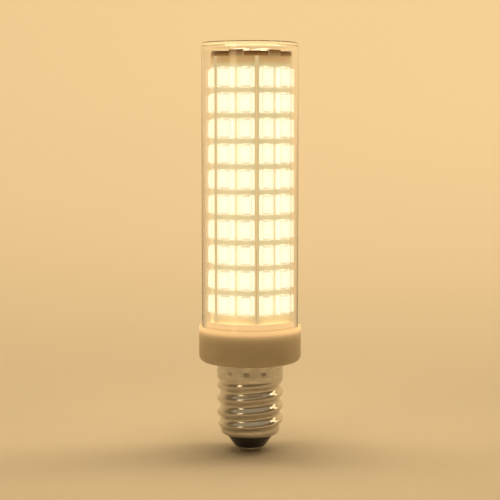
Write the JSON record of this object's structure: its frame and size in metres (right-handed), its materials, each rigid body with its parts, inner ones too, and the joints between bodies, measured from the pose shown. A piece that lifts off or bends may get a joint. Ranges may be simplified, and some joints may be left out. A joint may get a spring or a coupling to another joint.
{
  "type": "corn led bulb",
  "caption": "Slim corn LED bulb: a six-sided prism of LED boards under a clear flat-topped cover, on a white base with a small Edison screw cap.",
  "frame": {"origin": "centre of the end contact's flat tip", "axes": "+Z along the bulb's axis, from the end contact to the cover's closed top; an edge of the LED prism points to -Y"},
  "size_m": [0.0212, 0.0212, 0.0846],
  "materials": {
    "clear_plastic": "clear polished",
    "led_phosphor": "satin",
    "led_body": "satin",
    "white_board": "white solder resist",
    "white_plastic": "satin moulded",
    "nickel_shell": "nickel plated",
    "black_plug": "glossy",
    "tinned_contact": "tinned",
    "green_board": "solder resist",
    "black_sleeve": "shrink sleeve",
    "capacitor_case": "dipped epoxy",
    "chip_body": "moulded epoxy",
    "resistor_body": "lacquered",
    "brass_strip": "tinned brass"
  },
  "bodies": {
    "root": {"clear_cover": "clear_plastic", "top_board": "white_board", "top_led_frames": "led_body", "top_led_phosphors": "led_phosphor", "side_board_1": "white_board", "led_frames_1": "led_body", "led_phosphors_1": "led_phosphor", "side_board_2": "white_board", "led_frames_2": "led_body", "led_phosphors_2": "led_phosphor", "side_board_3": "white_board", "led_frames_3": "led_body", "led_phosphors_3": "led_phosphor", "side_board_4": "white_board", "led_frames_4": "led_body", "led_phosphors_4": "led_phosphor", "side_board_5": "white_board", "led_frames_5": "led_body", "led_phosphors_5": "led_phosphor", "side_board_6": "white_board", "led_frames_6": "led_body", "led_phosphors_6": "led_phosphor", "base_board": "white_board", "base_housing": "white_plastic", "screw_shell": "nickel_shell", "cap_insulator": "black_plug", "centre_contact": "tinned_contact", "driver_board": "green_board", "smoothing_capacitor": "black_sleeve", "film_capacitor": "capacitor_case", "bridge_rectifier": "chip_body", "bleed_resistor": "chip_body", "fuse_resistor": "resistor_body", "neutral_strip": "brass_strip", "led_strip_positive": "brass_strip", "led_strip_negative": "brass_strip"}
  },
  "joints": []
}
